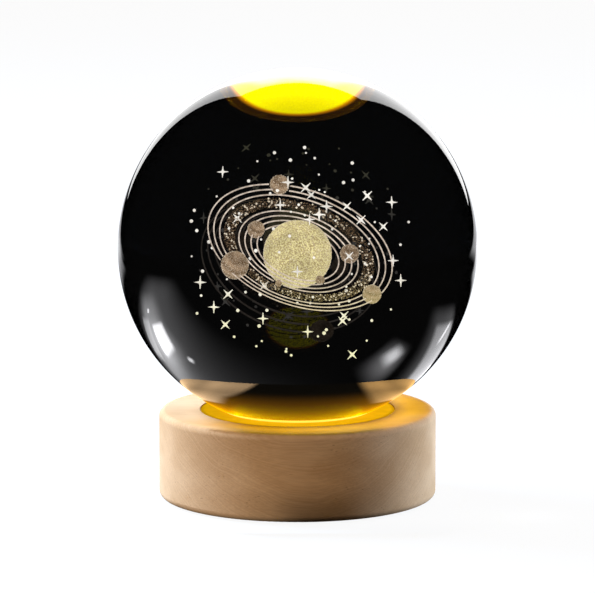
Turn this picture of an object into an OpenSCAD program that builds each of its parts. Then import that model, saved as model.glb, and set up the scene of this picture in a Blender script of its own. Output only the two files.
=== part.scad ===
// Crystal ball lamp: an engraved glass ball on a lit, turned beech base.
// Millimetres, +Z up, front towards -Y, origin under the middle of the base.

/* [Glass ball] */
// Diameter of the ball
ball_d = 80; // [70:1:90]
// Diameter of the ground flat that it stands on
flat_d = 32; // [28:0.5:34]
// Width of the bevel round the flat
flat_bevel = 0.4; // [0.2:0.1:0.8]

/* [Wooden base] */
// Diameter of the turned base
base_d = 62; // [60:0.5:70]
// Height of the base from the table to its top face
base_h = 20; // [19:0.5:24]
// Radius of the eased top and bottom edges
edge_r = 1.4; // [0.6:0.1:1.8]
// Thickness of the wood round the hollow that holds the boards
hollow_wall = 7.5; // [7:0.1:8]
// Thickness of the wood between that hollow and the diffuser
ceiling_t = 4.8; // [4.4:0.1:5.4]
// Thickness of the wood round the bottom cover
rim_wall = 3; // [2.8:0.1:3.4]

/* [Diffuser] */
// Diameter of the frosted disc
diffuser_d = 43.4; // [41:0.2:44]
// Thickness of the frosted disc
diffuser_t = 2.2; // [1.8:0.1:3]
// Depth of the shallow seat that keeps the ball in place
seat_depth = 0.3; // [0.2:0.1:0.8]
// Clearance between the ball and the rim of its seat
seat_gap = 0.4; // [0.3:0.1:0.8]
// Film of air between the ball's flat and its seat
ball_gap = 0.05; // [0.03:0.01:0.1]
// Clearance of the disc in its rebate
diffuser_gap = 0.15; // [0.05:0.05:0.3]

/* [Light engine] */
// Clearance round the round board in its hollow
board_gap = 1.5; // [0.8:0.1:1.8]
// Thickness of the round board
board_t = 1.2; // [0.8:0.1:1.6]
// Number of light emitting packages in the ring
led_ring_count = 6; // [3:1:8]
// Radius of that ring
led_ring_r = 6.2; // [5.5:0.1:6.8]
// Width and length of one package
led_size = 2.8; // [2:0.1:3]
// Height of one package
led_h = 1.1; // [0.8:0.1:1.4]
// Diameter of the yellow window in a package
led_window_d = 2.2; // [1.2:0.1:2.2]
// Depth of that window
led_window_t = 0.5; // [0.3:0.1:0.6]
// Diameter of the reflector's open floor
reflector_floor_d = 19; // [18:0.5:24]
// Wall of the reflector at its upper rim
reflector_rim = 0.6; // [0.4:0.1:1]
// Wall of the reflector at its floor
reflector_foot = 0.4; // [0.3:0.1:0.8]
// Clearance round the reflector in the well
reflector_gap = 0.3; // [0.1:0.05:0.5]
// Distance of the board screws from the board's edge
board_screw_inset = 2; // [1.8:0.1:2.4]
// Distance of the light well's wall from the board screws' axes
well_ledge = 2.2; // [1.8:0.1:3]
// Number of board screws
board_screw_count = 3; // [2:1:4]
// Number of chip resistors
resistor_count = 3; // [1:1:5]
// Length of a chip resistor
resistor_len = 3.2; // [2:0.1:3.2]
// Width of a chip resistor
resistor_w = 1.6; // [1.2:0.1:1.6]
// Height of a chip resistor
resistor_h = 0.6; // [0.4:0.1:0.7]
// Spacing of the chip resistors
resistor_pitch = 5; // [4:0.5:6]
// Distance of the chip resistors in front of the lamp's axis
resistor_ahead = 9; // [7:0.5:11]

/* [Inlet and switch] */
// Width of the small board at the back
inlet_w = 22; // [21:0.25:22.2]
// Length of the small board, front to back
inlet_len = 11.4; // [11:0.1:11.8]
// Thickness of the small board
inlet_t = 1; // [0.8:0.1:1.2]
// Clearance round the small board in its bay
inlet_gap = 0.3; // [0.2:0.05:0.4]
// Clearance between the small board and the screw heads over it
boards_gap = 0.3; // [0.2:0.05:0.5]
// Thickness of the wood behind the bay
bay_wall = 5.8; // [5.6:0.1:6.2]
// Sideways place of the power socket
socket_x = -4.2; // [-4.4:0.1:-4]
// Width of the power socket's shell
socket_w = 8.94; // [8.5:0.02:9.1]
// Height of the power socket's shell
socket_h = 3.26; // [3:0.02:3.4]
// Length of the power socket's shell
socket_len = 7.3; // [6.5:0.1:8]
// Sheet thickness of the power socket's shell
socket_wall = 0.3; // [0.25:0.01:0.35]
// Clearance round the shell where it passes through the wood
socket_gap = 0.15; // [0.1:0.05:0.3]
// Depth of the recess for the plug's grip, down to the socket's mouth
recess_depth = 4.4; // [4.2:0.1:4.6]
// Width of the recess for the plug's grip
recess_w = 13; // [12.6:0.1:13.2]
// Height of the recess for the plug's grip
recess_h = 7.4; // [7:0.1:7.6]
// Sideways place of the push button
button_x = 5.8; // [5.7:0.1:5.8]
// Diameter of the push button
button_d = 4.8; // [4:0.1:5]
// How far the push button stands out of the wood beside it
button_proud = 0.5; // [0.5:0.1:0.8]
// Diameter of the collar that keeps the button in
collar_d = 6.2; // [5.8:0.1:6.2]
// Thickness of that collar
collar_t = 1.3; // [1:0.1:1.4]
// Clearance between the collar and what lies round it
collar_gap = 0.3; // [0.2:0.05:0.4]
// Travel of the push button
button_travel = 0.5; // [0.3:0.05:0.6]
// Radial clearance of the button in its bore
button_gap = 0.3; // [0.2:0.05:0.4]
// Width of the switch
switch_w = 6; // [5.6:0.1:6.2]
// Depth of the switch
switch_len = 3.6; // [3.2:0.1:4]
// Height of the switch
switch_h = 4.6; // [4.4:0.1:4.8]
// Diameter of the switch's plunger
plunger_d = 3.2; // [2.6:0.1:3.2]
// Length of the plunger between the switch and the button
plunger_out = 2.3; // [1.8:0.1:2.6]
// Radial clearance of the plunger in the switch
plunger_gap = 0.2; // [0.1:0.05:0.25]
// Diameter of an insulated lead
lead_d = 1.2; // [0.8:0.1:1.4]
// Spacing of the two leads
lead_pitch = 2.6; // [2:0.1:4]
// Bend radius of a lead
lead_bend = 1.6; // [1.4:0.1:1.6]
// Distance between a lead's two ends
lead_reach = 7.5; // [6:0.5:9]

/* [Bottom] */
// Thickness of the bottom cover
cover_t = 2; // [1.6:0.1:2.2]
// Clearance round the bottom cover
cover_gap = 0.3; // [0.1:0.05:0.5]
// Diameter of the posts that hold up the small board
post_d = 1.8; // [1.4:0.1:1.8]
// Distance of the posts from the small board's front and back edges
post_inset = 1.5; // [1.2:0.1:2]
// Distance of the cover screws from the cover's edge
cover_screw_inset = 1.95; // [1.8:0.05:2.1]
// Number of cover screws
cover_screw_count = 3; // [2:1:4]
// Distance of the pad's edge from the cover screws' axes
pad_ledge = 2.75; // [2:0.25:6]
// Thickness of the soft pad
pad_t = 1.4; // [1:0.1:1.6]
// Height that the wood stands off the table on the pad
pad_proud = 0.4; // [0.2:0.1:0.6]

/* [Screws] */
// Shank diameter of the small wood screws
screw_d = 1.6; // [1.4:0.1:1.7]
// Head diameter of the small wood screws
screw_head_d = 3; // [2.8:0.1:3]
// Head height of the small wood screws
screw_head_h = 1; // [0.8:0.1:1.1]
// Length of the shank in the wood
screw_len = 3.4; // [2.5:0.1:3.6]
// Clearance round a shank in the sheet that it holds
screw_gap = 0.25; // [0.1:0.05:0.3]
// Diameter of a shank's blunted point
screw_tip_d = 0.4; // [0.3:0.1:0.6]
// Diameter of the cross recess in a head, across its arms
screw_drive_w = 1.7; // [1.2:0.1:1.9]

/* [Engraving] */
// Height of the engraving's middle above the ball's centre
engrave_up = -1; // [-2:0.25:1]
// Tilt of the orbits towards the front, in degrees
orbit_tilt = 30; // [20:1:40]
// Roll of the orbits to one side, in degrees
orbit_roll = 16; // [0:1:25]
// Radius of the sun
sun_r = 5.2; // [4.6:0.1:5.4]
// Number of orbits, each with one planet
orbit_count = 7; // [4:1:7]
// Radius of the innermost orbit
orbit_first = 6.5; // [6.4:0.1:6.8]
// Step from one orbit to the next
orbit_step = 1; // [0.9:0.05:1.1]
// Number of orbits inside the belt of small bodies
belt_after = 4; // [2:1:5]
// Width of that belt
belt_w = 1.8; // [1:0.1:2]
// Thickness of that belt
belt_t = 0.3; // [0.2:0.05:0.5]
// Distance between the belt and the orbits beside it
belt_margin = 0.7; // [0.5:0.05:0.9]
// Radius of the smallest planet
planet_least = 0.55; // [0.5:0.01:0.56]
// Radius of an engraved line
line_r = 0.1; // [0.08:0.01:0.16]
// Gap between a line's end and its planet
line_gap = 0.3; // [0.2:0.05:0.5]
// Number of places that are tried for a star
star_tries = 130; // [60:10:160]
// Half width of the cloud of stars
star_reach = 18.5; // [16:0.5:20]
// Half depth of the cloud of stars, front to back
star_depth = 10; // [7:0.5:12]
// Radius of the smallest dot
dot_r = 0.16; // [0.12:0.01:0.2]
// Half length of a star's points
star_arm = 0.95; // [0.7:0.05:1.1]
// Half width of a star's waist
star_waist = 0.16; // [0.1:0.01:0.2]
// Thickness of a star's plates
star_plate = 0.12; // [0.08:0.01:0.2]
// Every so many dots, one is a star with points
star_every = 4; // [3:1:8]
// Gap between the engraved marks and the clear glass
engrave_gap = 0.02; // [0.01:0.01:0.04]

/* [Hidden] */

$fn = 96;
eps = 0.01;

ball_r = ball_d / 2;
flat_drop = sqrt(pow(ball_r, 2) - pow(flat_d / 2, 2));
seat_z = base_h - seat_depth;
flat_z = seat_z + ball_gap;
ball_z = flat_z + flat_drop;
seat_r = sqrt(pow(ball_r, 2) - pow(ball_z - base_h, 2)) + seat_gap;
bevel_slope = 5;

diffuser_z = base_h - diffuser_t;
cavity_d = base_d - 2 * hollow_wall;
cavity_top = diffuser_z - ceiling_t;
board_d = cavity_d - 2 * board_gap;
board_z = cavity_top - board_t;
board_screw_r = board_d / 2 - board_screw_inset;
board_screw_turn = 30;
well_d = 2 * (board_screw_r - well_ledge);

cover_top = pad_t + cover_t;
cover_d = base_d - 2 * (rim_wall + cover_gap);
cover_screw_r = cover_d / 2 - cover_screw_inset;
cover_screw_turn = 30;
pad_d = 2 * (cover_screw_r - pad_ledge);

bay_top = board_z - screw_head_h - boards_gap;
bay_back = base_d / 2 - bay_wall;
bay_half = inlet_w / 2 + inlet_gap;
inlet_z = bay_top - inlet_t;
inlet_back = bay_back - inlet_gap;
inlet_front = inlet_back - inlet_len;
post_x = inlet_w / 2 - post_d / 2;
post_rows = [inlet_front + post_inset, inlet_back - post_inset];

socket_z = inlet_z - socket_h / 2;
socket_mouth = base_d / 2 - recess_depth;

button_z = bay_top - collar_d / 2 - collar_gap;
button_front = sqrt(pow(base_d / 2, 2) - pow(button_x, 2)) + button_proud;
collar_front = bay_back - collar_gap;
collar_back = collar_front - collar_t;
notch_front = collar_back - button_travel - collar_gap;
switch_front = collar_back - plunger_out;
plunger_tail = 1;
plunger_room = plunger_tail + button_travel + collar_gap;

pilot_spare = 0.3;
tail_len = screw_len + pilot_spare;

lead_inset = 2;
lead_drop = 0.8;
lead_start = inlet_front + lead_inset;
lead_end = lead_start - lead_reach;

// Each planet: how many times the smallest one's radius it has, and the angle of its place on its orbit.
planets = [[1.3, 305], [2.35, 150], [2.5, 20], [1, 250], [4.2, 212], [2.73, 334], [2.36, 100]];
spread = [0.8191725, 0.6710436, 0.5497005];
star_clear = 0.45;
star_lean = 45;

// The belt takes the place of one step between two orbits.
belt_in = orbit_first + (belt_after - 1) * orbit_step + belt_margin;
belt_extra = belt_w + 2 * belt_margin - orbit_step;
function orbit_r(i) = orbit_first + i * orbit_step + (i < belt_after ? 0 : belt_extra);
function planet_r(i) = planet_least * planets[i][0];
function on_orbit(i) = [orbit_r(i) * cos(planets[i][1]), orbit_r(i) * sin(planets[i][1]), 0];

// Half the angle that planet j takes out of orbit i, by the cosine rule, and 0 where they miss.
function half_break(i, j) =
    let (a = orbit_r(i), b = orbit_r(j), d = planet_r(j) + line_gap)
    abs(a - b) < d ? acos((a * a + b * b - d * d) / (2 * a * b)) : 0;
function breaks(i) =
    by_angle([for (j = [0 : orbit_count - 1]) if (half_break(i, j) > 0) [planets[j][1], half_break(i, j)]]);
function by_angle(list) =
    len(list) < 2 ? list
    : let (pivot = list[0][0])
      concat(by_angle([for (b = list) if (b[0] < pivot) b]), [list[0]],
             by_angle([for (b = list) if (b[0] > pivot) b]));
// The stretches of orbit i between its breaks, as first and last angles.
function line_arcs(i) =
    let (b = breaks(i), n = len(b))
    [for (k = [0 : n - 1])
     let (next = b[(k + 1) % n]) [b[k][0] + b[k][1], next[0] - next[1] + (k == n - 1 ? 360 : 0)]];

// A point of the engraving, turned back into the plane of the orbits.
function untilt(p) = [p.x, p.y * cos(orbit_tilt) + p.z * sin(orbit_tilt),
                      p.z * cos(orbit_tilt) - p.y * sin(orbit_tilt)];
function unroll(p) = [p.x * cos(orbit_roll) - p.z * sin(orbit_roll), p.y,
                      p.z * cos(orbit_roll) + p.x * sin(orbit_roll)];
function in_plane(p) = unroll(untilt(p));

// Places for stars: evenly spread fractions give each its height, its turn and its distance out.
function fraction(i, k) = ((i + 1) * spread[k]) % 1;
function star_place(i) =
    let (rise = 1 - 2 * fraction(i, 0), turn = 360 * fraction(i, 1),
         reach = pow(fraction(i, 2), 1 / 3), level = sqrt(1 - pow(rise, 2)))
    [star_reach * reach * level * cos(turn), star_depth * reach * level * sin(turn),
     star_reach * reach * rise];
function off_orbits(q) =
    abs(q.z) > star_arm + star_clear
    || norm([q.x, q.y]) > orbit_r(orbit_count - 1) + star_arm + star_clear;
function off_planets(q) =
    len([for (i = [0 : orbit_count - 1])
         if (norm(q - on_orbit(i)) < planet_r(i) + star_arm + star_clear) i]) == 0;
function off_sun(q) = norm(q) > sun_r + star_arm + star_clear;
function is_free(p) = let (q = in_plane(p)) off_orbits(q) && off_planets(q) && off_sun(q);
free_places = [for (i = [0 : star_tries - 1]) let (p = star_place(i)) if (is_free(p)) p];
star_places = [for (i = [0 : len(free_places) - 1])
               if (len([for (j = [0 : 1 : i - 1])
                        if (norm(free_places[i] - free_places[j]) < 2 * star_arm + star_clear) j]) == 0)
               free_places[i]];

// A bar of round-ended section, as seen from the front, running backwards from its front plane.
module slot_prism(w, h, length) {
    rotate([90, 0, 0])
        linear_extrude(length) {
            square([w - h, h], center = true);
            translate([-(w - h) / 2, 0]) circle(h / 2);
            translate([(w - h) / 2, 0]) circle(h / 2);
        }
}

module round_posts(places, d, z0, z1) {
    for (p = places) translate([p.x, p.y, z0]) cylinder(h = z1 - z0, d = d);
}

function ring_places(count, r, first) =
    [for (i = [0 : count - 1]) [r * cos(first + i * 360 / count), r * sin(first + i * 360 / count)]];
board_screws_at = ring_places(board_screw_count, board_screw_r, board_screw_turn);
cover_screws_at = ring_places(cover_screw_count, cover_screw_r, cover_screw_turn);
led_places = concat([[0, 0]], ring_places(led_ring_count, led_ring_r, 0));
posts_at = [for (side = [-1, 1], y = post_rows) [side * post_x, y]];

// The turned blank: a disc whose two rims are rolled over with a quarter round.
module turned_blank() {
    h = base_h - pad_proud;
    r = base_d / 2;
    translate([0, 0, pad_proud])
        rotate_extrude() {
            square([r - edge_r, h]);
            translate([0, edge_r]) square([r, h - 2 * edge_r]);
            translate([r - edge_r, edge_r]) circle(edge_r);
            translate([r - edge_r, h - edge_r]) circle(edge_r);
        }
}

module wood_base() {
    color([0.86, 0.72, 0.56])
        difference() {
            turned_blank();
            translate([0, 0, diffuser_z]) cylinder(h = diffuser_t + 1, d = diffuser_d + 2 * diffuser_gap);
            translate([0, 0, cavity_top - eps]) cylinder(h = base_h - cavity_top, d = well_d);
            translate([0, 0, cover_top - eps]) cylinder(h = cavity_top - cover_top + eps, d = cavity_d);
            translate([0, 0, -1]) cylinder(h = cover_top + 1, d = cover_d + 2 * cover_gap);
            inlet_bay();
            round_posts(board_screws_at, screw_d, cavity_top - eps, cavity_top + tail_len);
            round_posts(cover_screws_at, screw_d, cover_top - eps, cover_top + tail_len);
        }
}

// The bay behind the hollow, with the ways out of it for the socket, the plug and the button.
module inlet_bay() {
    translate([-bay_half, 0, cover_top - eps]) cube([2 * bay_half, bay_back, bay_top - cover_top + eps]);
    translate([socket_x, base_d, socket_z])
        slot_prism(socket_w + 2 * socket_gap, socket_h + 2 * socket_gap, base_d - bay_back + 1);
    translate([socket_x, base_d, socket_z]) slot_prism(recess_w, recess_h, base_d - socket_mouth);
    translate([button_x, bay_back - 1, button_z])
        rotate([-90, 0, 0]) cylinder(h = base_d, d = button_d + 2 * button_gap);
}

module diffuser() {
    color([1.0, 0.78, 0.25])
        difference() {
            translate([0, 0, diffuser_z]) cylinder(h = diffuser_t, d = diffuser_d);
            translate([0, 0, seat_z]) cylinder(h = seat_depth + 1, r = seat_r);
        }
}

// A white cone that throws the light up at the diffuser.
module reflector_cup() {
    outer = well_d / 2 - reflector_gap;
    floor_r = reflector_floor_d / 2;
    color("white")
        rotate_extrude()
            polygon([[floor_r, cavity_top], [outer, cavity_top], [outer, diffuser_z],
                     [outer - reflector_rim, diffuser_z], [floor_r, cavity_top + reflector_foot]]);
}

module led_board() {
    color([0.93, 0.94, 0.95])
        difference() {
            translate([0, 0, board_z]) cylinder(h = board_t, d = board_d);
            round_posts(board_screws_at, screw_d + 2 * screw_gap, board_z - 1, cavity_top + 1);
        }
}

module led_packages() {
    color([0.97, 0.96, 0.92])
        for (p = led_places)
            translate([p.x, p.y, cavity_top])
                difference() {
                    translate([-led_size / 2, -led_size / 2, 0]) cube([led_size, led_size, led_h]);
                    translate([0, 0, led_h - led_window_t]) cylinder(h = 1, d = led_window_d);
                }
}

module led_windows() {
    color([0.98, 0.83, 0.2])
        for (p = led_places)
            translate([p.x, p.y, cavity_top + led_h - led_window_t])
                cylinder(h = led_window_t, d = led_window_d);
}

module resistors() {
    first = -(resistor_count - 1) * resistor_pitch / 2;
    color([0.12, 0.12, 0.13])
        for (i = [0 : resistor_count - 1])
            translate([first + i * resistor_pitch - resistor_len / 2, -resistor_ahead, board_z - resistor_h])
                cube([resistor_len, resistor_w, resistor_h]);
}

// A pan-headed wood screw driven upwards, with its head's underside at the origin.
module pan_screw(grip) {
    difference() {
        union() {
            translate([0, 0, -screw_head_h]) cylinder(h = screw_head_h, d = screw_head_d);
            translate([0, 0, -eps]) cylinder(h = grip + screw_len - screw_d / 2 + eps, d = screw_d);
            translate([0, 0, grip + screw_len - screw_d / 2])
                cylinder(h = screw_d / 2, d1 = screw_d, d2 = screw_tip_d);
        }
        cross_recess(-screw_head_h);
    }
}

// A countersunk wood screw driven upwards, with its flat head's face at the origin.
module countersunk_screw(grip) {
    difference() {
        union() {
            cylinder(h = screw_head_h, d1 = screw_head_d, d2 = screw_d);
            translate([0, 0, screw_head_h - eps])
                cylinder(h = grip - screw_head_h + screw_len - screw_d / 2 + eps, d = screw_d);
            translate([0, 0, grip + screw_len - screw_d / 2])
                cylinder(h = screw_d / 2, d1 = screw_d, d2 = screw_tip_d);
        }
        cross_recess(0);
    }
}

module cross_recess(z) {
    arm = 0.35;
    for (turn = [0, 90])
        translate([0, 0, z + screw_head_h / 4])
            rotate([0, 0, turn]) cube([screw_drive_w, arm, screw_head_h / 2 + eps], center = true);
}

module board_screws() {
    color("silver")
        for (p = board_screws_at) translate([p.x, p.y, board_z]) pan_screw(board_t);
}

module cover_screws() {
    color("silver")
        for (p = cover_screws_at) translate([p.x, p.y, pad_t]) countersunk_screw(cover_t);
}

// The small board, with a notch in its back edge that the button's collar moves in.
module inlet_board() {
    notch_w = collar_d + 2 * collar_gap;
    color([0.1, 0.42, 0.22])
        difference() {
            translate([-inlet_w / 2, inlet_front, inlet_z]) cube([inlet_w, inlet_len, inlet_t]);
            translate([button_x - notch_w / 2, notch_front, inlet_z - 1])
                cube([notch_w, inlet_len, inlet_t + 2]);
        }
}

// The steel shell of the power socket: a flattened tube, closed behind by its moulding.
module socket_shell() {
    color([0.75, 0.76, 0.78])
        translate([socket_x, socket_mouth, socket_z])
            difference() {
                slot_prism(socket_w, socket_h, socket_len);
                translate([0, 1, 0])
                    slot_prism(socket_w - 2 * socket_wall, socket_h - 2 * socket_wall, socket_len + 2);
            }
}

// The moulding that fills the back of the shell, and the tongue that stands out of it.
module socket_tongue() {
    tongue_w = 6.7;
    tongue_t = 0.7;
    tongue_setback = 0.6;
    block_len = 1.6;
    color([0.1, 0.1, 0.11])
        translate([socket_x, 0, socket_z])
            union() {
                translate([0, socket_mouth - socket_len + block_len, 0])
                    slot_prism(socket_w - 2 * socket_wall, socket_h - 2 * socket_wall, block_len);
                translate([-tongue_w / 2, socket_mouth - socket_len + block_len - eps, -tongue_t / 2])
                    cube([tongue_w, socket_len - block_len - tongue_setback + eps, tongue_t]);
            }
}

// The row of solder tails behind the shell, bent up to the board.
module socket_contacts() {
    tail_w = 0.25;
    tail_pitch = 0.5;
    tail_count = 12;
    tail_reach = 0.9;
    back = socket_mouth - socket_len;
    color([0.9, 0.75, 0.35])
        for (i = [0 : tail_count - 1])
            translate([socket_x + (i - (tail_count - 1) / 2) * tail_pitch - tail_w / 2,
                       back - tail_reach, inlet_z - tail_w]) {
                cube([tail_w, tail_w, tail_w]);
                translate([0, 0, tail_w - socket_h / 2]) cube([tail_w, tail_reach, tail_w]);
                translate([0, 0, tail_w - socket_h / 2]) cube([tail_w, tail_w, socket_h / 2 - tail_w + eps]);
            }
}

module switch_body() {
    color([0.15, 0.15, 0.16])
        difference() {
            translate([button_x - switch_w / 2, switch_front - switch_len, inlet_z - switch_h])
                cube([switch_w, switch_len, switch_h]);
            translate([button_x, switch_front + 1, button_z])
                rotate([90, 0, 0]) cylinder(h = plunger_room + 1, d = plunger_d + 2 * plunger_gap);
        }
}

module switch_plunger() {
    color([0.85, 0.2, 0.18])
        translate([button_x, switch_front - plunger_tail, button_z])
            rotate([-90, 0, 0]) cylinder(h = collar_back - switch_front + plunger_tail, d = plunger_d);
}

// The button: a round cap with a domed end, and the collar that keeps it inside the wall.
module push_button() {
    dome_h = 0.5;
    cap_len = button_front - collar_front;
    dome_r = (pow(button_d / 2, 2) + pow(dome_h, 2)) / (2 * dome_h);
    color([0.16, 0.16, 0.17])
        translate([button_x, collar_back, button_z])
            rotate([-90, 0, 0])
                union() {
                    cylinder(h = collar_t, d = collar_d);
                    intersection() {
                        translate([0, 0, collar_t - eps]) cylinder(h = cap_len + 1, d = button_d);
                        translate([0, 0, collar_t + cap_len - dome_r]) sphere(dome_r);
                    }
                }
}

// A quarter of a ring of wire, from the +X side round to the +Y side.
module wire_quarter() {
    rotate_extrude(angle = 90) translate([lead_bend, 0]) circle(lead_d / 2);
}

// A lead from the small board down, forwards and up to the round board.
module lead(x) {
    low = inlet_z - lead_drop - lead_bend;
    translate([x, 0, 0]) {
        translate([0, lead_start, inlet_z - lead_drop]) cylinder(h = lead_drop, d = lead_d);
        translate([0, lead_start - lead_bend, inlet_z - lead_drop])
            rotate([0, 90, 0]) wire_quarter();
        translate([0, lead_start - lead_bend, low])
            rotate([90, 0, 0]) cylinder(h = lead_start - lead_end - 2 * lead_bend, d = lead_d);
        translate([0, lead_end + lead_bend, inlet_z - lead_drop])
            rotate([0, 90, 0]) rotate([0, 0, 270]) wire_quarter();
        translate([0, lead_end, inlet_z - lead_drop])
            cylinder(h = board_z - inlet_z + lead_drop, d = lead_d);
    }
}

module lead_red() {
    color([0.75, 0.1, 0.08]) lead(-lead_pitch / 2);
}

module lead_black() {
    color([0.08, 0.08, 0.09]) lead(lead_pitch / 2);
}

module bottom_cover() {
    color([0.12, 0.12, 0.13]) {
        difference() {
            translate([0, 0, pad_t]) cylinder(h = cover_t, d = cover_d);
            for (p = cover_screws_at)
                translate([p.x, p.y, pad_t - eps]) {
                    cylinder(h = screw_head_h, d1 = screw_head_d + 2 * screw_gap,
                             d2 = screw_d + 2 * screw_gap);
                    cylinder(h = cover_t + 1, d = screw_d + 2 * screw_gap);
                }
        }
        round_posts(posts_at, post_d, cover_top - eps, inlet_z);
    }
}

module base_pad() {
    color([0.1, 0.1, 0.1]) cylinder(h = pad_t, d = pad_d);
}

module orbit_frame() {
    translate([0, 0, ball_z + engrave_up])
        rotate([orbit_tilt, 0, 0]) rotate([0, orbit_roll, 0]) children();
}

// Every engraved form takes the amount by which it grows, so that the ball is cut to fit it.
module sun_form(grow) {
    orbit_frame() sphere(sun_r + grow);
}

module planet_forms(grow) {
    orbit_frame()
        for (i = [0 : orbit_count - 1]) translate(on_orbit(i)) sphere(planet_r(i) + grow);
}

// The orbit lines, each broken where a planet lies on it or leans over it.
module orbit_forms(grow) {
    orbit_frame()
        for (i = [0 : orbit_count - 1], arc = line_arcs(i))
            let (more = atan(grow / orbit_r(i)))
            rotate([0, 0, arc[0] - more])
                rotate_extrude(angle = arc[1] - arc[0] + 2 * more)
                    translate([orbit_r(i), 0]) circle(line_r + grow, $fn = 24);
}

// The belt, open round the planets that lean into it.
module belt_form(grow) {
    difference() {
        orbit_frame()
            rotate_extrude()
                translate([belt_in - grow, -belt_t / 2 - grow])
                    square([belt_w + 2 * grow, belt_t + 2 * grow]);
        planet_forms(line_gap - grow);
    }
}

// One star: two thin four-pointed plates, one facing the front and one facing the side.
module star(grow) {
    long = star_arm + grow;
    waist = star_waist + grow;
    for (turn = [0, 90])
        rotate([90, 0, turn])
            translate([0, 0, -star_plate / 2 - grow])
                linear_extrude(star_plate + 2 * grow)
                    polygon([[long, 0], [waist, waist], [0, long], [-waist, waist],
                             [-long, 0], [-waist, -waist], [0, -long], [waist, -waist]]);
}

// The dots in three sizes, and between them stars, of which every other one leans over by half a turn
// between two points.
module star_forms(grow) {
    translate([0, 0, ball_z + engrave_up])
        for (i = [0 : len(star_places) - 1])
            translate(star_places[i]) {
                if (i % star_every == 0) rotate([0, i / star_every % 2 * star_lean, 0]) star(grow);
                else sphere(dot_r * (1 + (i % 3) * 0.3) + grow, $fn = 24);
            }
}

module crystal_ball() {
    flat_r = flat_d / 2;
    color([0.06, 0.06, 0.07, 0.5])
        difference() {
            translate([0, 0, ball_z]) sphere(ball_r, $fn = 180);
            cylinder(h = flat_z, d = ball_d);
            rotate_extrude()
                polygon([[flat_r - flat_bevel, flat_z - eps], [flat_r + 1, flat_z - eps],
                         [flat_r + 1, flat_z + (1 + flat_bevel) / bevel_slope]]);
            sun_form(engrave_gap);
            planet_forms(engrave_gap);
            orbit_forms(engrave_gap);
            belt_form(engrave_gap);
            star_forms(engrave_gap);
        }
}

module engraved_sun() {
    color([0.95, 0.86, 0.55]) sun_form(0);
}

module engraved_planets() {
    color([0.85, 0.74, 0.55]) planet_forms(0);
}

module engraved_orbits() {
    color([0.85, 0.78, 0.66]) orbit_forms(0);
}

module engraved_belt() {
    color([0.85, 0.74, 0.55]) belt_form(0);
}

module engraved_stars() {
    color([1.0, 0.98, 0.9]) star_forms(0);
}

wood_base();
diffuser();
reflector_cup();
led_board();
led_packages();
led_windows();
resistors();
board_screws();
inlet_board();
socket_shell();
socket_tongue();
socket_contacts();
switch_body();
switch_plunger();
push_button();
lead_red();
lead_black();
bottom_cover();
cover_screws();
base_pad();
crystal_ball();
engraved_sun();
engraved_planets();
engraved_orbits();
engraved_belt();
engraved_stars();
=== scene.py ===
"""Crystal ball lamp: the finish of its glass, engraving, beech and fittings, and the studio round it."""

import math

import bmesh
import bpy
import numpy as np
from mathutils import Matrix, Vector

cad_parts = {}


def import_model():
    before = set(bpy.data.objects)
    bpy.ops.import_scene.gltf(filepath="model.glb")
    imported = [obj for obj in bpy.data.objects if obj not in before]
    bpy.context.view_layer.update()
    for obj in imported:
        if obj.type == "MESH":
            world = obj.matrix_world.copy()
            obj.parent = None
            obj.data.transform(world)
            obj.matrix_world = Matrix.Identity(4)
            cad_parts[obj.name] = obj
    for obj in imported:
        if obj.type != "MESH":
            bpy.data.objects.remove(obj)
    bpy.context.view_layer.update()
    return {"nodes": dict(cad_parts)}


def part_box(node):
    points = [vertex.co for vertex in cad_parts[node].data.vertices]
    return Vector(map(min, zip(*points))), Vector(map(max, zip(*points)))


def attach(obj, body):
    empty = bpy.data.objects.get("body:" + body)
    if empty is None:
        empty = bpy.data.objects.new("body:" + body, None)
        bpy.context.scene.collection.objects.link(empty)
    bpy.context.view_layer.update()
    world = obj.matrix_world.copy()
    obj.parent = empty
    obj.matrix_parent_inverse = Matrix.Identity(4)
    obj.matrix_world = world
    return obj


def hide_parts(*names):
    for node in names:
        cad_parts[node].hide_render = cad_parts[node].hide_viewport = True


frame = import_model()

MM = 0.001
WELD = 1e-7

# The ball: its radius, the ground flat that it stands on, how far the flat's bevel reaches inwards and
# outwards, and the height of the edge above the flat that is lit with it.
ball_low, ball_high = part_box("crystal_ball")
BALL_R = 40 * MM
BALL_Z = ball_high.z - BALL_R
FLAT_Z = ball_low.z
FLAT_R = math.sqrt(BALL_R**2 - (BALL_Z - FLAT_Z) ** 2)
BEVEL_IN = 0.4 * MM
BEVEL_OUT = 0.33 * MM
LIT_EDGE = 0.75 * MM

# Mesh fineness, as rows from pole to pole and steps round the axis.
BALL_ROWS, BALL_TURNS = 200, 320
SUN_ROWS, SUN_TURNS = 97, 128
PLANET_ROWS, PLANET_TURNS = 49, 64
DISC_TURNS = 256
SHEET_TURNS, RING_TURNS = 96, 64

# The engraving, with the sizes that the solid parts have. For each orbit from the innermost outwards,
# PLANETS has its planet's radius, as a multiple of the least, and its place in degrees.
SUN_R = 5.2 * MM
SKY_DROP = 1 * MM
ORBIT_TILT = 30
ORBIT_ROLL = 16
ORBIT_FIRST = 6.5 * MM
ORBIT_STEP = 1 * MM
BELT_AFTER = 4
BELT_MARGIN = 0.7 * MM
BELT_W = 1.8 * MM
BELT_T = 0.3 * MM
PLANET_LEAST = 0.55 * MM
PLANETS = ((1.3, 305), (2.35, 150), (2.5, 20), (1, 250), (4.2, 212), (2.73, 334), (2.36, 100))

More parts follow.
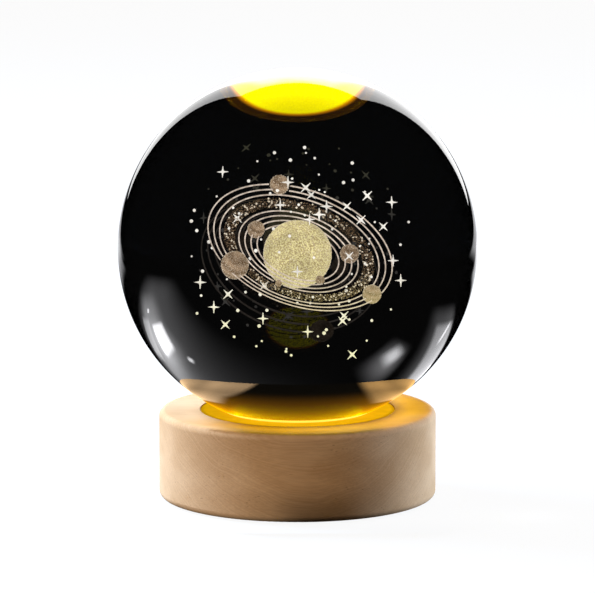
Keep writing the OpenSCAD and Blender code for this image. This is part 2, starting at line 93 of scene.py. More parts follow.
# The grains: spacing and girth of those on the sun and the planets, number and girth of those in the belt,
# how far a grain strays as a share of the spacing, the heights over the skin in mm between which it lies,
# its least and greatest share of the girth, and the distance that the belt's keep from a planet.
SUN_GRAINS = 0.26 * MM, 0.075 * MM
PLANET_GRAINS = 0.2 * MM, 0.06 * MM
BELT_DUST = 3600, 0.065 * MM
BELT_ROCKS = 260, 0.15 * MM
STRAY = 0.25
SKIN_HEIGHTS = -0.06, 0.02
GIRTHS = 0.6, 1.25
BELT_CLEARANCE = 0.35 * MM

# The frosted disc: its edge and chamfer, and the seat turned in it, with its floor and its eased rim.
disc_low, disc_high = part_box("diffuser")
DISC_R = disc_high.x
DISC_CHAMFER = 0.2 * MM
SEAT_R = 16.96 * MM
SEAT_Z = FLAT_Z - 0.05 * MM
SEAT_EASE = 0.08 * MM

# The heart of the tree that the base was turned from, behind it and below it, in mm.
HEART_Y, HEART_Z = 62.0, -75.0

# Pools of light on the table that the glass mirrors: centre and half lengths in mm, turn in degrees,
# share of the half lengths over which the light fades, and level.
POOLS = (
    ((-125, 14), (150, 72), 0, 0.8, 0.95),
    ((-96, 32), (78, 34), -12, 0.8, 1.5),
    ((-80, 19), (20, 15), -12, 0.45, 8.5),
    ((-76, 20), (36, 26), -30, 0.95, 2.2),
    ((-80, 53), (26, 14), 0, 0.4, 1.3),
    ((-116, 41), (5, 3.5), 0, 0.6, 6.0),
    ((-53.5, -7.4), (4.5, 3), -40, 0.95, 8.0),
    ((66, 44), (34, 30), 0, 0.35, 1.7),
    ((78, 38), (56, 42), 0, 0.6, 0.5),
    ((84, 48), (20, 3.2), 46, 0.6, 3.2),
    ((46, 66), (8, 7), 0, 0.7, 2.6),
    ((52, -21.5), (12, 9), 18, 0.9, 7.5),
    ((47, -22), (22, 16), 0, 0.95, 2.2),
    ((95, 310), (60, 120), 0, 0.5, 0.85),
    ((170, 560), (110, 300), 0, 0.4, 0.8),
    ((-140, 330), (60, 140), 0, 0.5, 0.5),
    ((-130, 580), (110, 330), 0, 0.4, 0.7),
)

# The backdrop as the glass mirrors it: azimuth of its two sides and elevation of its bounds, in degrees.
CARD_SIDES = -23, 26
CARD_LOW, CARD_TOP = -3, 43

# Sheets, each as two radii and heights in mm: the mirrored top of disc and wood, and the ring that stands in
# for the light that the ball spills. The low flag has its bounds in mm along X, Y and Z. The floor and the
# mirrored table have their half length in metres and their height.
TOP_SHEET = (17.1, 20.45), (31.2, 20.45)
SPILL_RING = (23.5, 23.2), (26.5, 25.6)
FLAG_LOW = (-14, 34), -39, (0, 9)
FLOOR_HALF, FLOOR_Z = 4, -0.02 * MM
TABLE_HALF, TABLE_Z = 2.2, 0.6 * MM

# Flags on the rim of the wood, black cloths that keep the lamps' light off its top: name, lower edge in mm,
# and first and last azimuth in degrees from +X. All end at the same height, where the ball overhangs them.
FLAG_R = 30.9 * MM
FLAG_TOP = 36 * MM
FLAGS = (("flag_left", 28, (196, 228)), ("flag_front", 20.3, (228, 305)), ("flag_right", 20.3, (350, 400)))

# The lamps: name, place and size in metres, power in watts and colour. All look at a point low in the ball.
LAMPS = (
    ("lamp_left", (-0.54, 0.29, 0.46), (0.4, 0.4), 18.5, (0.60, 0.90, 1.40)),
    ("lamp_front", (-0.60, -0.36, 0.25), (0.4, 0.4), 2.8, (1.0, 0.95, 0.88)),
    ("lamp_right", (0.54, 0.29, 0.085), (0.4, 0.12), 9, (0.60, 0.86, 1.30)),
)
LAMPS_LOOK_AT = Vector((0, 0, 0.03))

# The camera: degrees that it looks down, its distance from its aim, the aim's height, and the width of the
# picture at the aim.
CAMERA_RISE = 9.3
CAMERA_AWAY = 0.95
CAMERA_AIM = 45.4 * MM
FRAME_WIDTH = 132.8 * MM
SENSOR_WIDTH = 36


class Signal:
    """A shader socket that is reckoned with like a number: each sign adds its Math node."""

    def __init__(self, wiring, socket):
        self.wiring = wiring
        self.socket = socket

    def reckon(self, operation, first, second=None):
        sockets = {0: first} if second is None else {0: first, 1: second}
        return self.wiring.node("Math", {"operation": operation}, sockets)

    def __add__(self, other):
        return self.reckon("ADD", self, other)

    def __sub__(self, other):
        return self.reckon("SUBTRACT", self, other)

    def __mul__(self, other):
        return self.reckon("MULTIPLY", self, other)

    def larger(self, other):
        return self.reckon("MAXIMUM", self, other)

    def root(self):
        return self.reckon("SQRT", self)

    def distance(self):
        """How far the value is from 0, whichever way."""
        return self.reckon("ABSOLUTE", self)

    def ramp(self, low, high, start=0.0, end=1.0):
        """A smooth step: start below low, end above high."""
        return self.wiring.node(
            "MapRange",
            {"interpolation_type": "SMOOTHSTEP"},
            {"Value": self, "From Min": low, "From Max": high, "To Min": start, "To Max": end},
        )


class Wiring:
    """The nodes of one material or world. Every node but its first ones comes from the node method."""

    def __init__(self, owner):
        owner.use_nodes = True
        self.tree = owner.node_tree

    @staticmethod
    def pick(sockets, key):
        """A socket by its place, or by its name among those in use."""
        if isinstance(key, int):
            return sockets[key]
        return next(s for s in sockets if s.enabled and s.name == key)

    def feed(self, socket, value):
        """Gives a socket its link, its colour or its number."""
        if isinstance(value, Signal):
            self.tree.links.new(value.socket, socket)
        elif socket.type == "RGBA" and len(value) == 3:
            socket.default_value = (*value, 1)
        else:
            socket.default_value = value

    def node(self, kind, settings=None, sockets=None, output=0):
        """Adds a node, sets it up, fills its sockets and returns one of its outputs."""
        made = self.tree.nodes.new("ShaderNode" + kind)
        for name, value in (settings or {}).items():
            setattr(made, name, value)
        for key, value in (sockets or {}).items():
            self.feed(self.pick(made.inputs, key), value)
        return Signal(self, self.pick(made.outputs, output))

    def mix(self, share, first, second):
        """A colour between two colours."""
        settings = {"data_type": "RGBA"}
        return self.node("Mix", settings, {"Factor": share, "A": first, "B": second}, "Result")

    def tint(self, colour, share):
        """A colour made lighter or darker by a share that changes over the surface."""
        settings = {"operation": "SCALE"}
        return self.node("VectorMath", settings, {"Vector": colour, "Scale": share})

    def place(self, stretch=(1, 1, 1), shift=(0, 0, 0)):
        """Object coordinates in millimetres, stretched and shifted for a pattern."""
        where = self.node("TexCoord", output="Object")
        scale = [s / MM for s in stretch]
        return self.node("Mapping", {}, {0: where, "Location": shift, "Scale": scale})

    def noise(self, where, scale, detail=2.0, rough=0.5):
        sockets = {"Vector": where, "Scale": scale, "Detail": detail, "Roughness": rough}
        return self.node("TexNoise", {}, sockets)

    def cells(self, where, scale):
        """The distance to the nearest of many scattered points."""
        return self.node("TexVoronoi", {}, {"Vector": where, "Scale": scale})

    def attribute(self, name):
        return self.node("Attribute", {"attribute_name": name}, {}, "Fac")

    def axes(self, where):
        return [self.node("SeparateXYZ", {}, {0: where}, axis) for axis in range(3)]

    def plan(self, where):
        """A place as seen from above: x, y and the distance from the Z axis."""
        x, y, _ = self.axes(where)
        return x, y, (x * x + y * y).root()

    def bump(self, height, depth):
        """A normal from a height between 0 and 1, whose full rise is depth metres."""
        return self.node("Bump", {}, {"Height": height, "Distance": depth, "Strength": 1.0})


class Finish(Wiring):
    """A material on the Principled shader, which sets its constants on the shader's own sockets."""

    def __init__(self, name, **sockets):
        self.material = bpy.data.materials.new(name)
        super().__init__(self.material)
        self.shader = self.tree.nodes["Principled BSDF"]
        self.set(**sockets)

    def set(self, **sockets):
        for name, value in sockets.items():
            self.feed(self.pick(self.shader.inputs, name.replace("_", " ")), value)
        return self


def revolve(profile, turns):
    """A profile of radius and height carried once round the Z axis: x = r cos a, y = r sin a, z = height."""
    profile = np.asarray(profile, float)
    angle = np.arange(turns) * (2 * math.pi / turns)
    radius, height = profile[:, :1], profile[:, 1:2]
    points = np.stack([radius * np.cos(angle), radius * np.sin(angle), height + 0 * angle], -1)
    row, column = np.meshgrid(np.arange(len(profile) - 1), np.arange(turns), indexing="ij")
    following = (column + 1) % turns
    corners = (row * turns + column, (row + 1) * turns + column,
               (row + 1) * turns + following, row * turns + following)
    return points.reshape(-1, 3), np.stack(corners, -1).reshape(-1, 4)


def piece(name, points, faces, body, slot, sharp_above=30):
    """A mesh from arrays, with its poles closed, its faces outwards and its smooth stretches shaded so."""
    mesh = bpy.data.meshes.new(name)
    mesh.from_pydata(points.tolist(), [], faces.tolist())
    shell = bmesh.new()
    shell.from_mesh(mesh)
    bmesh.ops.remove_doubles(shell, verts=shell.verts, dist=WELD)
    bmesh.ops.recalc_face_normals(shell, faces=shell.faces)
    shell.to_mesh(mesh)
    shell.free()
    mesh.polygons.foreach_set("use_smooth", np.ones(len(mesh.polygons), bool))
    mesh.set_sharp_from_angle(angle=math.radians(sharp_above))
    made = bpy.data.objects.new(name, mesh)
    bpy.context.scene.collection.objects.link(made)
    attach(made, body)
    return made


def arc(centre_r, centre_z, radius, first, last, count):
    """Points of a circular arc in the profile's plane, between two angles in degrees from the outward
    axis: r = centre + radius cos a, z = centre + radius sin a."""
    angle = np.radians(np.linspace(first, last, count))
    return np.stack([centre_r + radius * np.cos(angle), centre_z + radius * np.sin(angle)], -1)


def glass_ball():
    """The ball: its great arc from the top pole down to the bevel, the bevel, and the ground flat."""
    low_angle = -math.degrees(math.acos((FLAT_R + BEVEL_OUT) / BALL_R))
    dome = arc(0, BALL_Z, BALL_R, 90, low_angle, BALL_ROWS)
    flat = [(FLAT_R - BEVEL_IN, FLAT_Z), (FLAT_R / 2, FLAT_Z), (0, FLAT_Z)]
    made = piece("glass_ball", *revolve(np.vstack([dome, flat]), BALL_TURNS), "ball", "crystal", 8)
    made.data.materials.append(crystal())
    made.data.materials.append(lit_flat())
    middles = np.empty(len(made.data.polygons) * 3)
    made.data.polygons.foreach_get("center", middles)
    is_lit = (middles[2::3] < FLAT_Z + LIT_EDGE).astype(np.int32)
    made.data.polygons.foreach_set("material_index", is_lit)
    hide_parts("crystal_ball")


def crystal():
    """Clear glass with painted shade: its dark tints stand in for the dark surroundings seen through the
    ball, so light loses most of itself on the way in, and more at the far wall.
    """
    glass = Finish("crystal_glass", Transmission_Weight=1.0, IOR=1.455, Roughness=0.0)
    # Painted shade: these tints darken what shows through the clear ball, lighter on the way in and darkest
    # at the far wall.
    painted_shade_entering = (0.04, 0.04, 0.04)
    painted_shade_far_wall = (1e-4, 1e-4, 1e-4)
    behind = glass.node("NewGeometry", output="Backfacing")
    return glass.set(Base_Color=glass.mix(behind, painted_shade_entering, painted_shade_far_wall)).material


def lit_flat():
    """The ground flat, its bevel and the narrow edge above it: matt glass that glows with the light under
    it, far more strongly into the ball, and redder at the rim, where the glass parts the colours."""
    strength = 88.0
    outside = [c / strength for c in (1.15, 0.78, 0.12)]
    yellow, red, dark = (1.0, 0.88, 0.0), (0.55, 0.20, 0.0), (0.015, 0.004, 0.0)
    ground = Finish("ground_flat", Roughness=0.6, Emission_Strength=strength)
    behind = ground.node("NewGeometry", output="Backfacing")
    where = ground.place()
    _, _, radius = ground.plan(where)
    frost = ground.noise(where, 2.5, 4).ramp(0.3, 0.7, 0.9, 1.0)
    near_rim, at_rim = radius.ramp(13.4, 14.9), radius.ramp(14.3, 16.0)
    inside = ground.mix(at_rim, ground.mix(near_rim, yellow, red), dark)
    glow = ground.mix(behind, outside, inside)
    ground.set(Base_Color=(0.5, 0.42, 0.3), Emission_Color=ground.tint(glow, frost))
    return ground.set(Normal=ground.bump(ground.noise(where, 6.0), 0.02 * MM)).material


def glowing(name, low, high, scale, warm, tone=None):
    """Cracks in the glass that the light makes shine: two tones by a fine grain, which follow a mesh's tone
    where it has one, and warmer lower down, from just under the ball's middle."""
    crack = Finish(name, Roughness=0.9, Specular_IOR_Level=0.0, Emission_Strength=1.0, Base_Color=(0, 0, 0))
    where = crack.place()
    grain = crack.noise(where, scale, 3, 0.7).ramp(0.38, 0.62)
    if tone:
        grain = grain * 0.45 + crack.attribute(tone) * 0.55
    blotch = crack.noise(where, 0.25, 2).ramp(0.3, 0.7, 0.8, 1.1)
    middle = BALL_Z / MM
    lower = crack.axes(where)[2].ramp(middle - 2, middle - 16)
    shade = crack.tint(crack.mix(grain, low, high), blotch)
    return crack.set(Emission_Color=crack.mix(lower * 0.75, shade, warm)).material


def sky_frame(points):
    """Points of the orbits' plane, rolled to one side about the Y axis, tilted forwards about the X axis and
    lifted to the engraving's middle."""
    roll, tilt = math.radians(ORBIT_ROLL), math.radians(ORBIT_TILT)
    x, y, z = np.moveaxis(points, -1, 0)
    x, z = x * math.cos(roll) + z * math.sin(roll), z * math.cos(roll) - x * math.sin(roll)
    y, z = y * math.cos(tilt) - z * math.sin(tilt), y * math.sin(tilt) + z * math.cos(tilt)
    return np.stack([x, y, z + BALL_Z - SKY_DROP], -1)


def planet_places():
    """Each planet's centre in the orbits' plane, and its radius. The belt widens the step that it lies in."""
    size, angle = np.array(PLANETS, float).T
    turn = np.radians(angle)
    count = np.arange(len(PLANETS))
    widened = BELT_W + 2 * BELT_MARGIN - ORBIT_STEP
    orbit = ORBIT_FIRST + ORBIT_STEP * count + np.where(count < BELT_AFTER, 0, widened)
    centre = np.stack([orbit * np.cos(turn), orbit * np.sin(turn), 0 * turn], -1)
    return centre, size * PLANET_LEAST


def balls(name, centres, radii, rows, turns, material):
    """Round bodies in the orbits' plane: unit spheres times each radius, moved to each centre. Their tone
    follows bands over the height, sin(k h + bend), with its own k and bend on each body."""
    unit, quads = revolve(arc(0, 0, 1, 90, -90, rows), turns)
    points = centres[:, None] + radii[:, None, None] * unit
    faces = quads + len(unit) * np.arange(len(radii))[:, None, None]
    made = piece(name, sky_frame(points).reshape(-1, 3), faces.reshape(-1, 4), "ball", "engraving", 180)
    made.data.materials.append(material)
    place = np.empty(len(made.data.vertices) * 3)
    made.data.vertices.foreach_get("co", place)
    away = place.reshape(-1, 1, 3) - sky_frame(centres)
    nearest = np.linalg.norm(away, axis=-1).argmin(1)
    local = away[np.arange(len(nearest)), nearest] / radii[nearest, None]
    pole = sky_frame(np.array([0, 0, 1.0])) - sky_frame(np.zeros(3))
    height = local @ pole
    pitch = 7.0 + 2.3 * (nearest % 3)
    wave = 0.35 * np.sin(5 * local[:, 0] + 2.0 * nearest)
    tone = 0.5 + 0.5 * np.sin(pitch * height + wave + nearest)
    made.data.attributes.new("tone", "FLOAT", "POINT").data.foreach_set("value", tone)
    return made


def octahedra(name, spots, size, chance, slot, material):
    """A small octahedron at each spot: its six tips lie a random girth away along the axes."""
    tips = np.array([(1, 0, 0), (0, 1, 0), (-1, 0, 0), (0, -1, 0), (0, 0, 1), (0, 0, -1)], float)
    sides = np.array([(0, 1, 4), (1, 2, 4), (2, 3, 4), (3, 0, 4), (1, 0, 5), (2, 1, 5), (3, 2, 5), (0, 3, 5)])
    girth = size * chance.uniform(*GIRTHS, (len(spots), 1, 1))
    points = sky_frame(spots)[:, None] + girth * tips
    faces = sides + len(tips) * np.arange(len(spots))[:, None, None]
    made = piece(name, points.reshape(-1, 3), faces.reshape(-1, 3), "ball", slot, 180)
    made.data.materials.append(material)
    return made


def skin_spots(centre, radius, spacing, chance):
    """Places on a ball's skin along an even spiral: each step turns by the golden angle and sinks by one
    share of the height, and each place is then shifted a little, as a laser leaves them."""
    count = int(4 * math.pi * radius**2 / spacing**2)
    step = np.arange(count) + 0.5
    rise = 1 - 2 * step / count
    level = np.sqrt(1 - rise**2)
    golden = math.pi * (3 - math.sqrt(5))
    unit = np.stack([level * np.cos(golden * step), level * np.sin(golden * step), rise], -1)
    unit += chance.normal(0, STRAY * spacing / radius, unit.shape)
    unit /= np.linalg.norm(unit, axis=-1, keepdims=True)
    return centre + unit * (radius + chance.uniform(*SKIN_HEIGHTS, (count, 1)) * MM)


def belt_spots(centres, radii, count, chance):
    """Places in the belt: even over its area, as the root of a number between its squared edges, and thinner
    away from its plane. Those near a planet are left out."""
    belt_in = ORBIT_FIRST + (BELT_AFTER - 1) * ORBIT_STEP + BELT_MARGIN
    distance = np.sqrt(chance.uniform(belt_in**2, (belt_in + BELT_W) ** 2, count))
    turn = chance.uniform(0, 2 * math.pi, count)
    lift = chance.normal(0, BELT_T / 4, count).clip(-BELT_T / 2, BELT_T / 2)
    spots = np.stack([distance * np.cos(turn), distance * np.sin(turn), lift], -1)
    clear = np.linalg.norm(spots[:, None] - centres, axis=-1) > radii + BELT_CLEARANCE
    return spots[clear.all(1)]


def engraving():
    """The solar system inside the ball: frosted bodies under a skin of bright grains, lines and stars."""
    chance = np.random.default_rng(5)
    centres, radii = planet_places()
    middle = np.zeros((1, 3))
    frosted = glowing("engraved_frost", (0.55, 0.33, 0.17), (2.1, 1.45, 0.9), 5.0, (3.6, 3.1, 1.1), "tone")
    sun_frost = glowing("engraved_sun_frost", (1.9, 1.4, 0.6), (4.6, 4.1, 2.0), 4.0, (5.4, 5.2, 2.2))
    grain = glowing("engraved_grain", (2.6, 2.1, 1.5), (4.6, 4.0, 3.2), 3.0, (5.0, 4.6, 1.9))
    line = glowing("engraved_line", (2.6, 2.1, 1.7), (3.8, 3.2, 2.7), 1.2, (4.4, 3.8, 1.5))
    star = glowing("engraved_star", (4.2, 3.9, 3.5), (5.2, 5.0, 4.6), 1.5, (5.0, 4.8, 2.6))
    sun = balls("engraved_sun_body", middle, np.array([SUN_R]), SUN_ROWS, SUN_TURNS, sun_frost)
    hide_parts("engraved_sun")
    worlds = balls("engraved_planet_bodies", centres, radii, PLANET_ROWS, PLANET_TURNS, frosted)
    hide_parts("engraved_planets")

    spacing, girth = SUN_GRAINS
    skin = skin_spots(middle, SUN_R, spacing, chance)
    octahedra("sun_grains", skin, girth, chance, "engraving_line", grain)
    spacing, girth = PLANET_GRAINS
    skin = np.vstack([skin_spots(c, r, spacing, chance) for c, r in zip(centres, radii)])
    octahedra("planet_grains", skin, girth, chance, "engraving_line", grain)
    number, girth = BELT_DUST
    spots = belt_spots(centres, radii, number, chance)
    dust = octahedra("belt_grains", spots, girth, chance, "engraving", frosted)
    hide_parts("engraved_belt")
    number, girth = BELT_ROCKS
    spots = belt_spots(centres, radii, number, chance)
    octahedra("belt_rocks", spots, girth, chance, "engraving_line", grain)
    dress("engraved_orbits", line)
    dress("engraved_stars", star)


def frosted_disc():
    """The diffuser: a turned acrylic disc with a chamfered edge and the shallow seat for the ball."""
    top, low = disc_high.z, disc_low.z
    edge = DISC_R - DISC_CHAMFER
    profile = [(0, low), (edge, low), (DISC_R, low + DISC_CHAMFER), (DISC_R, top - DISC_CHAMFER), (edge, top),
               (SEAT_R + SEAT_EASE, top), (SEAT_R, top - SEAT_EASE), (SEAT_R, SEAT_Z), (SEAT_R * 0.7, SEAT_Z),
               (0, SEAT_Z)]
    made = piece("diffuser_disc", *revolve(profile, DISC_TURNS), "base", "frosted_disc", 20)
    made.data.materials.append(amber_acrylic())
    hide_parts("diffuser")


def amber_acrylic():
    """Frosted acrylic lit from below: amber round the ball, paler over the lights, darker at its very edge,
    with painted shade to the left, and with a fine tooth."""
    disc = Finish("amber_acrylic", Roughness=0.42, Emission_Strength=1.0, Specular_IOR_Level=0.0)
    where = disc.place()
    x, _, radius = disc.plan(where)
    middle, amber, edge = (1.0, 0.86, 0.42), (0.88, 0.44, 0.004), (0.50, 0.24, 0.002)
    # Painted shade: the ramp along X makes the glow darker to the left.
    outwards, at_edge, left_shade = radius.ramp(6, 15), radius.ramp(20.6, 21.8), x.ramp(-23, -8, 0.7, 1.0)
    glow = disc.mix(at_edge, disc.mix(outwards, middle, amber), edge)
    # The noise is a random mottle; the painted shade to the left is multiplied into it here.
    mottle = disc.noise(where, 0.35, 3).ramp(0.3, 0.7, 0.92, 1.04) * left_shade
    disc.set(Base_Color=(0.10, 0.05, 0.0), Emission_Color=disc.tint(glow, mottle))
    return disc.set(Normal=disc.bump(disc.noise(where, 9.0, 3), 0.01 * MM)).material


def beech():
    """Fine sanded beech: grain along X with growth layers, short dark flecks and a soft mottle."""
    wood = Finish("beech_wood", Specular_IOR_Level=0.05)
    late, early, dark = (0.48, 0.27, 0.125), (0.63, 0.39, 0.21), (0.27, 0.14, 0.06)
    _, y, z = wood.axes(wood.place())
    sway = wood.noise(wood.place((0.02, 0.05, 0.05)), 1.0, 3)
    across = ((y - HEART_Y) * (y - HEART_Y) + (z - HEART_Z) * (z - HEART_Z)).root()
    rings = {"W": across * 0.62 + sway * 5.0, "Detail": 2.0}
    layer = wood.node("TexNoise", {"noise_dimensions": "1D"}, rings)
    fibre = wood.noise(wood.place((0.10, 3.2, 3.2)), 1.0, 4, 0.6)
    fleck = wood.cells(wood.place((0.32, 1.5, 1.5), shift=(3, 5, 1)), 1.0).ramp(0.10, 0.20, 1.0, 0.0)
    fleck = fleck * wood.noise(wood.place((0.2, 0.5, 0.5)), 1.0, 2).ramp(0.48, 0.62)
    mottle = wood.noise(wood.place((0.05, 0.07, 0.09), shift=(11, 4, 7)), 1.0, 3).ramp(0.32, 0.68)
    tone = wood.mix(layer.ramp(0.30, 0.70) * 0.30 + mottle * 0.70, late, early)
    tone = wood.mix(fleck * 0.55, tone, dark)
    shade = fibre.ramp(0.3, 0.7, 0.93, 1.05)
    wood.set(Base_Color=wood.tint(tone, shade), Roughness=fibre.ramp(0.3, 0.7, 0.48, 0.62))
    relief = fibre * 0.6 + layer * 0.4 - fleck * 0.5
    return wood.set(Normal=wood.bump(relief, 0.03 * MM)).material


def moulded(name, colour, rough=0.45, grain=6.0, depth=0.008, **sockets):
    """Moulded plastic or lacquer: an even colour with a faint mottle and a fine tooth."""
    plastic = Finish(name, **sockets)
    where = plastic.place()
    mottle = plastic.noise(where, 0.4, 3).ramp(0.3, 0.7, 0.88, 1.08)
    tooth = plastic.noise(where, grain, 3)
    plastic.set(Base_Color=plastic.tint(colour, mottle))
    plastic.set(Roughness=tooth.ramp(0.3, 0.7, rough - 0.06, rough + 0.08))
    return plastic.set(Normal=plastic.bump(tooth, depth * MM)).material


def plated(name, colour, rough=0.25, stretch=(1, 1, 8)):
    """Plated metal with fine drawing marks along its surface."""
    metal = Finish(name, Metallic=1.0)
    marks = metal.noise(metal.place(stretch), 1.4, 4)
    metal.set(Base_Color=metal.tint(colour, marks.ramp(0.3, 0.7, 0.86, 1.04)))
    metal.set(Roughness=marks.ramp(0.3, 0.7, rough - 0.07, rough + 0.10))
    return metal.set(Normal=metal.bump(marks, 0.004 * MM)).material


def foam():
    """Closed-cell foam: small round cells over its face."""
    pad = Finish("black_foam", Roughness=0.92)
    cell = pad.cells(pad.place(), 2.2)
    pad.set(Base_Color=pad.tint((0.03, 0.03, 0.03), cell.ramp(0.1, 0.7, 0.6, 1.3)))
    return pad.set(Normal=pad.bump(cell, 0.12 * MM)).material


def gel():
    """The yellow gel over a light, with its glow strongest in the middle of the grain."""
    window = Finish("yellow_gel", Roughness=0.3, Emission_Strength=2.0)
    speck = window.noise(window.place(), 5.0, 3).ramp(0.3, 0.7)
    window.set(Base_Color=window.mix(speck, (0.85, 0.6, 0.08), (0.98, 0.8, 0.2)))
    return window.set(Emission_Color=window.mix(speck, (1.0, 0.62, 0.16), (1.0, 0.82, 0.42))).material


def circuit_board(name, mask, track):
    """A board under its solder mask, with the copper tracks' slight rise showing through."""
    board = Finish(name)
    bricks = {"Vector": board.place(), "Scale": 0.45, "Mortar Size": 0.06}
    lanes = board.node("TexBrick", {"offset": 0.5}, bricks, "Fac")
    board.set(Base_Color=board.mix(lanes, mask, track), Roughness=lanes.ramp(0.0, 1.0, 0.34, 0.44))
    return board.set(Normal=board.bump(lanes, 0.02 * MM)).material


def dress(node, material):
    """Gives a carried-over node its material."""
    mesh = frame["nodes"][node].data
    mesh.materials.clear()
    mesh.materials.append(material)


def fittings():
    """Materials of the base's own pieces, most of them hidden inside it."""
    white = moulded("white_moulding", (0.86, 0.86, 0.83), 0.35)
    black = moulded("black_moulding", (0.022, 0.022, 0.025), 0.42)
    zinc = plated("zinc_screw", (0.74, 0.75, 0.77), 0.28, (2, 2, 2))
    dress("wood_base", beech())
    dress("reflector_cup", white)
    dress("led_packages", white)
    dress("led_windows", gel())
    dress("led_board", circuit_board("white_board", (0.83, 0.85, 0.86), (0.72, 0.74, 0.74)))
    dress("inlet_board", circuit_board("green_board", (0.012, 0.14, 0.05), (0.03, 0.24, 0.09)))
    for node in ("resistors", "socket_tongue", "switch_body"):
        dress(node, black)
    for node in ("board_screws", "cover_screws"):
        dress(node, zinc)
    dress("socket_shell", plated("socket_nickel", (0.66, 0.67, 0.69), 0.22, (6, 1, 6)))
    dress("socket_contacts", plated("contact_gilt", (0.83, 0.62, 0.27), 0.2))
    dress("switch_plunger", moulded("red_moulding", (0.52, 0.03, 0.02), 0.4))
    dress("push_button", moulded("button_black", (0.02, 0.02, 0.022), 0.3, 4.0, 0.004, Coat_Weight=0.2))
    dress("lead_red", moulded("red_insulation", (0.5, 0.02, 0.015), 0.38, 3.0))
    dress("lead_black", moulded("black_insulation", (0.02, 0.02, 0.022), 0.38, 3.0))
    dress("bottom_cover", moulded("cover_black", (0.028, 0.028, 0.031), 0.55, 5.0, 0.03))
    dress("base_pad", foam())


def staged(name, points, faces, material, rays=("camera", "diffuse", "glossy", "transmission", "shadow")):
    """A piece of the studio that only the named kinds of ray meet."""
    mesh = bpy.data.meshes.new(name)
    mesh.from_pydata(points.tolist(), [], faces.tolist())
    mesh.materials.append(material)
    made = bpy.data.objects.new(name, mesh)
    bpy.context.scene.collection.objects.link(made)
    for ray in ("camera", "diffuse", "glossy", "transmission", "volume_scatter", "shadow"):
        setattr(made, "visible_" + ray, ray in rays)
    return made


def level_sheet(half, z):
    """One flat square round the Z axis, at a height."""
    corners = [(-half, -half, z), (half, -half, z), (half, half, z), (-half, half, z)]
    return np.array(corners, float), np.array([(0, 1, 2, 3)])


def upright(x_range, y, z_range):
    """One upright rectangle that faces the front, from bounds in mm."""
    (x0, x1), (z0, z1) = x_range, z_range
    corners = [(x0, y, z0), (x1, y, z0), (x1, y, z1), (x0, y, z1)]
    return np.array(corners, float) * MM, np.array([(0, 1, 2, 3)])


def fence(radius, z_range, turn, count=60):
    """Part of an upright cylinder: x = r cos a, y = r sin a, between two azimuths in degrees from +X."""
    angle = np.radians(np.linspace(*turn, count))
    rows = [np.stack([radius * np.cos(angle), radius * np.sin(angle), z + 0 * angle], -1) for z in z_range]
    corner = np.arange(count - 1)
    return np.vstack(rows), np.stack([corner, corner + 1, corner + 1 + count, corner + count], -1)


def dome_patch(turn, rise, radius=2.0, count=40):
    """Part of a dome: x = R cos e sin a, y = R cos e cos a, z = R sin e, with azimuth from the back."""
    turns, rises = np.radians(np.linspace(*turn, count)), np.radians(np.linspace(*rise, count))
    azimuth, height = np.meshgrid(turns, rises, indexing="ij")
    level = np.cos(height)
    points = radius * np.stack([level * np.sin(azimuth), level * np.cos(azimuth), np.sin(height)], -1)
    row, column = np.meshgrid(np.arange(count - 1), np.arange(count - 1), indexing="ij")
    corner = row * count + column
    corners = np.stack([corner, corner + count, corner + count + 1, corner + 1], -1)
    return points.reshape(-1, 3), corners.reshape(-1, 4)


def black_cloth():
    return Finish("black_cloth", Base_Color=(0, 0, 0), Roughness=1.0, Specular_IOR_Level=0.0).material


def light_card(name, strength=1.0):
    """A sheet that only glows."""
    return Finish(name, Base_Color=(0, 0, 0), Specular_IOR_Level=0.0, Emission_Strength=strength)


def mirrored_table():
    """The table as the glass mirrors it: black cloth with pools of light. Each pool is a turned box, whose
    light fades over a share of its half lengths towards its edges."""
    table = light_card("mirrored_table")
    where = table.node("TexCoord", output="Object")
    total = 0.0
    for centre, half, turn, soft, level in POOLS:
        settings = {"vector_type": "TEXTURE"}
        sockets = {0: where, "Location": (centre[0] * MM, centre[1] * MM, 0),
                   "Rotation": (0, 0, math.radians(turn)), "Scale": (half[0] * MM, half[1] * MM, 1)}
        x, y, _ = table.axes(table.node("Mapping", settings, sockets))
        along, across = (side.distance() for side in (x, y))
        total = along.ramp(1 - soft, 1, level, 0) * across.ramp(1 - soft, 1, 1, 0) + total
    return table.set(Emission_Color=table.tint((1.0, 1.0, 1.03), total)).material


def back_light():
    """The lit backdrop behind the ball, with places in metres: brighter to the right, and brightest in the
    middle, in a field with an uneven upper edge."""
    card = light_card("back_light")
    where = card.node("TexCoord", output="Object")
    x, _, z = card.axes(where)
    uneven = z + card.noise(where, 3.0, 2) * 0.5
    field = uneven.ramp(1.42, 1.72, 2.8, 0.0) * x.distance().ramp(0.26, 0.4, 1.0, 0.0)
    return card.set(Emission_Color=card.tint((1, 1, 1), x.ramp(-0.6, 0.6, 1.85, 2.5) + field)).material


def mirrored_wood():
    """The lit disc and the wood's top as the glass mirrors them: deep amber over the disc, dark in front and
    behind, and tan at both sides, with a slanting border on the left."""
    card = light_card("mirrored_wood")
    x, y, radius = card.plan(card.place())
    tan_left, tan_right = (2.3, 1.5, 0.80), (2.3, 1.3, 0.44)
    amber, edge_amber, dark = (2.3, 0.95, 0.0), (0.9, 0.36, 0.01), (0.03, 0.02, 0.005)
    sideways = x.distance()
    level = sideways.ramp(22.5, 27, 1.0, 0.5) * radius.ramp(26.5, 30.5, 1.0, 2.2)
    side = card.tint(card.mix(x.ramp(-10, 10), tan_left, tan_right), level)
    middle = card.mix(radius.ramp(17.5, 23), amber, edge_amber)
    middle = card.mix(radius.ramp(22.5, 28), middle, dark)
    slant = (x + y * 0.535).ramp(-28.5, -26.5, 1.0, 0.0)
    is_side = slant.larger(sideways.ramp(16.8, 20.5)) * radius.ramp(21.6, 22.4)
    return card.set(Emission_Color=card.mix(is_side, middle, side)).material


